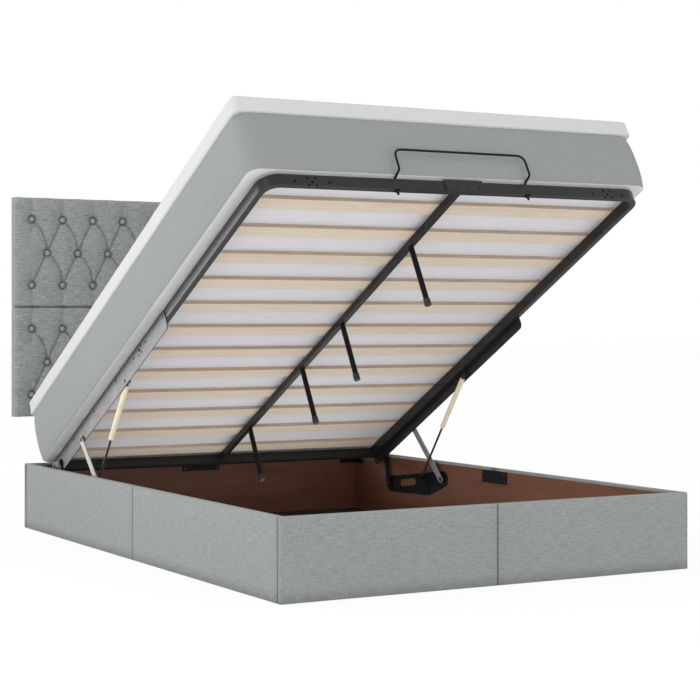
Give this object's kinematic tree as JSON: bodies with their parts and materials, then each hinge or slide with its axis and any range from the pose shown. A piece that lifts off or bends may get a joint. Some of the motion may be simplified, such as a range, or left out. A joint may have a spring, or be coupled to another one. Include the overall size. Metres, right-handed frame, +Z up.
{
  "type": "ottoman storage bed",
  "caption": "Upholstered storage bed with a foot-end lifting slatted platform on gas springs, a mattress with a topper, and a buttoned headboard.",
  "frame": {"origin": "on the floor, midway between the outermost faces left to right and foot to head", "axes": "+X right seen from the foot, +Y towards the headboard, +Z up"},
  "size_m": [1.4994, 2.182, 1.4334],
  "materials": {
    "cover_fabric": "woven grey upholstery",
    "cushion_fabric": "woven grey upholstery",
    "board_wood": "red-brown laminated board",
    "floor_hardboard": "black hardboard",
    "glide_plastic": "moulded",
    "black_steel": "black powder coat",
    "screw_steel": "blackened steel",
    "backboard_wood": "dark lined board",
    "strut_wood": "planed softwood",
    "slat_wood": "pale laminated slats",
    "cap_plastic": "moulded",
    "mattress_fabric": "woven grey border",
    "topper_fabric": "smooth knit",
    "cylinder_paint": "cream paint",
    "rod_steel": "black nitrided"
  },
  "bodies": {
    "base": {"base_pivot_pins": "screw_steel", "base_plates": "black_steel", "corner_brackets": "black_steel", "foot_board_left": "board_wood", "foot_board_right": "board_wood", "foot_cover_left": "cover_fabric", "foot_cover_right": "cover_fabric", "gas_brackets": "black_steel", "glides": "glide_plastic", "head_board_left": "board_wood", "head_board_right": "board_wood", "head_covers": "cover_fabric", "headboard_boards": "backboard_wood", "headboard_bolts": "screw_steel", "headboard_buttons": "cushion_fabric", "headboard_cushion_lower_left": "cushion_fabric", "headboard_cushion_lower_right": "cushion_fabric", "headboard_cushion_upper_left": "cushion_fabric", "headboard_cushion_upper_right": "cushion_fabric", "headboard_spacers": "strut_wood", "headboard_struts": "strut_wood", "joiner_plates": "black_steel", "panel_screws": "screw_steel", "side_board_left_front": "board_wood", "side_board_left_rear": "board_wood", "side_board_right_front": "board_wood", "side_board_right_rear": "board_wood", "side_cover_left_front": "cover_fabric", "side_cover_left_rear": "cover_fabric", "side_cover_right_front": "cover_fabric", "side_cover_right_rear": "cover_fabric", "storage_floor_front": "floor_hardboard", "storage_floor_rear": "floor_hardboard"},
    "front_links": {"front_link_left": "black_steel", "front_link_right": "black_steel"},
    "rear_links": {"rear_link_left": "black_steel", "rear_link_right": "black_steel"},
    "gas_cylinders": {"gas_cylinder_left": "cylinder_paint", "gas_cylinder_right": "cylinder_paint", "gas_top_eyes": "cap_plastic"},
    "gas_rods": {"gas_rod_left": "rod_steel", "gas_rod_right": "rod_steel"},
    "platform": {"frame_tube_front_right": "black_steel", "frame_tube_front_left": "black_steel", "frame_tube_rear_right": "black_steel", "frame_tube_rear_left": "black_steel", "frame_tube_head": "black_steel", "centre_beam": "black_steel", "slats": "slat_wood", "centre_legs": "black_steel", "leg_caps": "cap_plastic", "foot_joint_plate": "black_steel", "frame_bolts": "screw_steel", "retainer_bar": "black_steel", "retainer_lugs": "black_steel", "retainer_nuts": "screw_steel", "lift_plates": "black_steel", "platform_pivot_pins": "screw_steel", "mattress": "mattress_fabric", "topper": "topper_fabric"}
  },
  "joints": [
    {"name": "front_link_swing", "type": "hinge", "parent": "base", "child": "front_links", "pos_m": [0, 0.30148, 0.17268], "axis": [1, 0, 0], "range_deg": [-41.86, 0]},
    {"name": "platform_tilt", "type": "hinge", "parent": "front_links", "child": "platform", "pos_m": [0, 0.50039, 0.35981], "axis": [1, 0, 0], "range_deg": [0, 70.87]},
    {"name": "rear_link_swing", "type": "hinge", "parent": "base", "child": "rear_links", "pos_m": [0, 0.68703, 0.12584], "axis": [1, 0, 0], "range_deg": [-48.37, 0]},
    {"name": "gas_spring_tilt", "type": "hinge", "parent": "platform", "child": "gas_cylinders", "pos_m": [0, 0.11269, 0.57723], "axis": [1, 0, 0], "range_deg": [0, 23.25]},
    {"name": "gas_rod_slide", "type": "slide", "parent": "gas_cylinders", "child": "gas_rods", "axis": [0, 0.5962, -0.8028], "range_m": [-0.21924, 0]}
  ],
  "couplings": [
    {"joint": "platform_tilt", "follows": "front_link_swing", "ratio": -1.6927},
    {"joint": "rear_link_swing", "follows": "front_link_swing", "ratio": 1.1553},
    {"joint": "gas_spring_tilt", "follows": "front_link_swing", "ratio": -0.55519},
    {"joint": "gas_rod_slide", "follows": "front_link_swing", "m_per_rad": 0.29993}
  ]
}
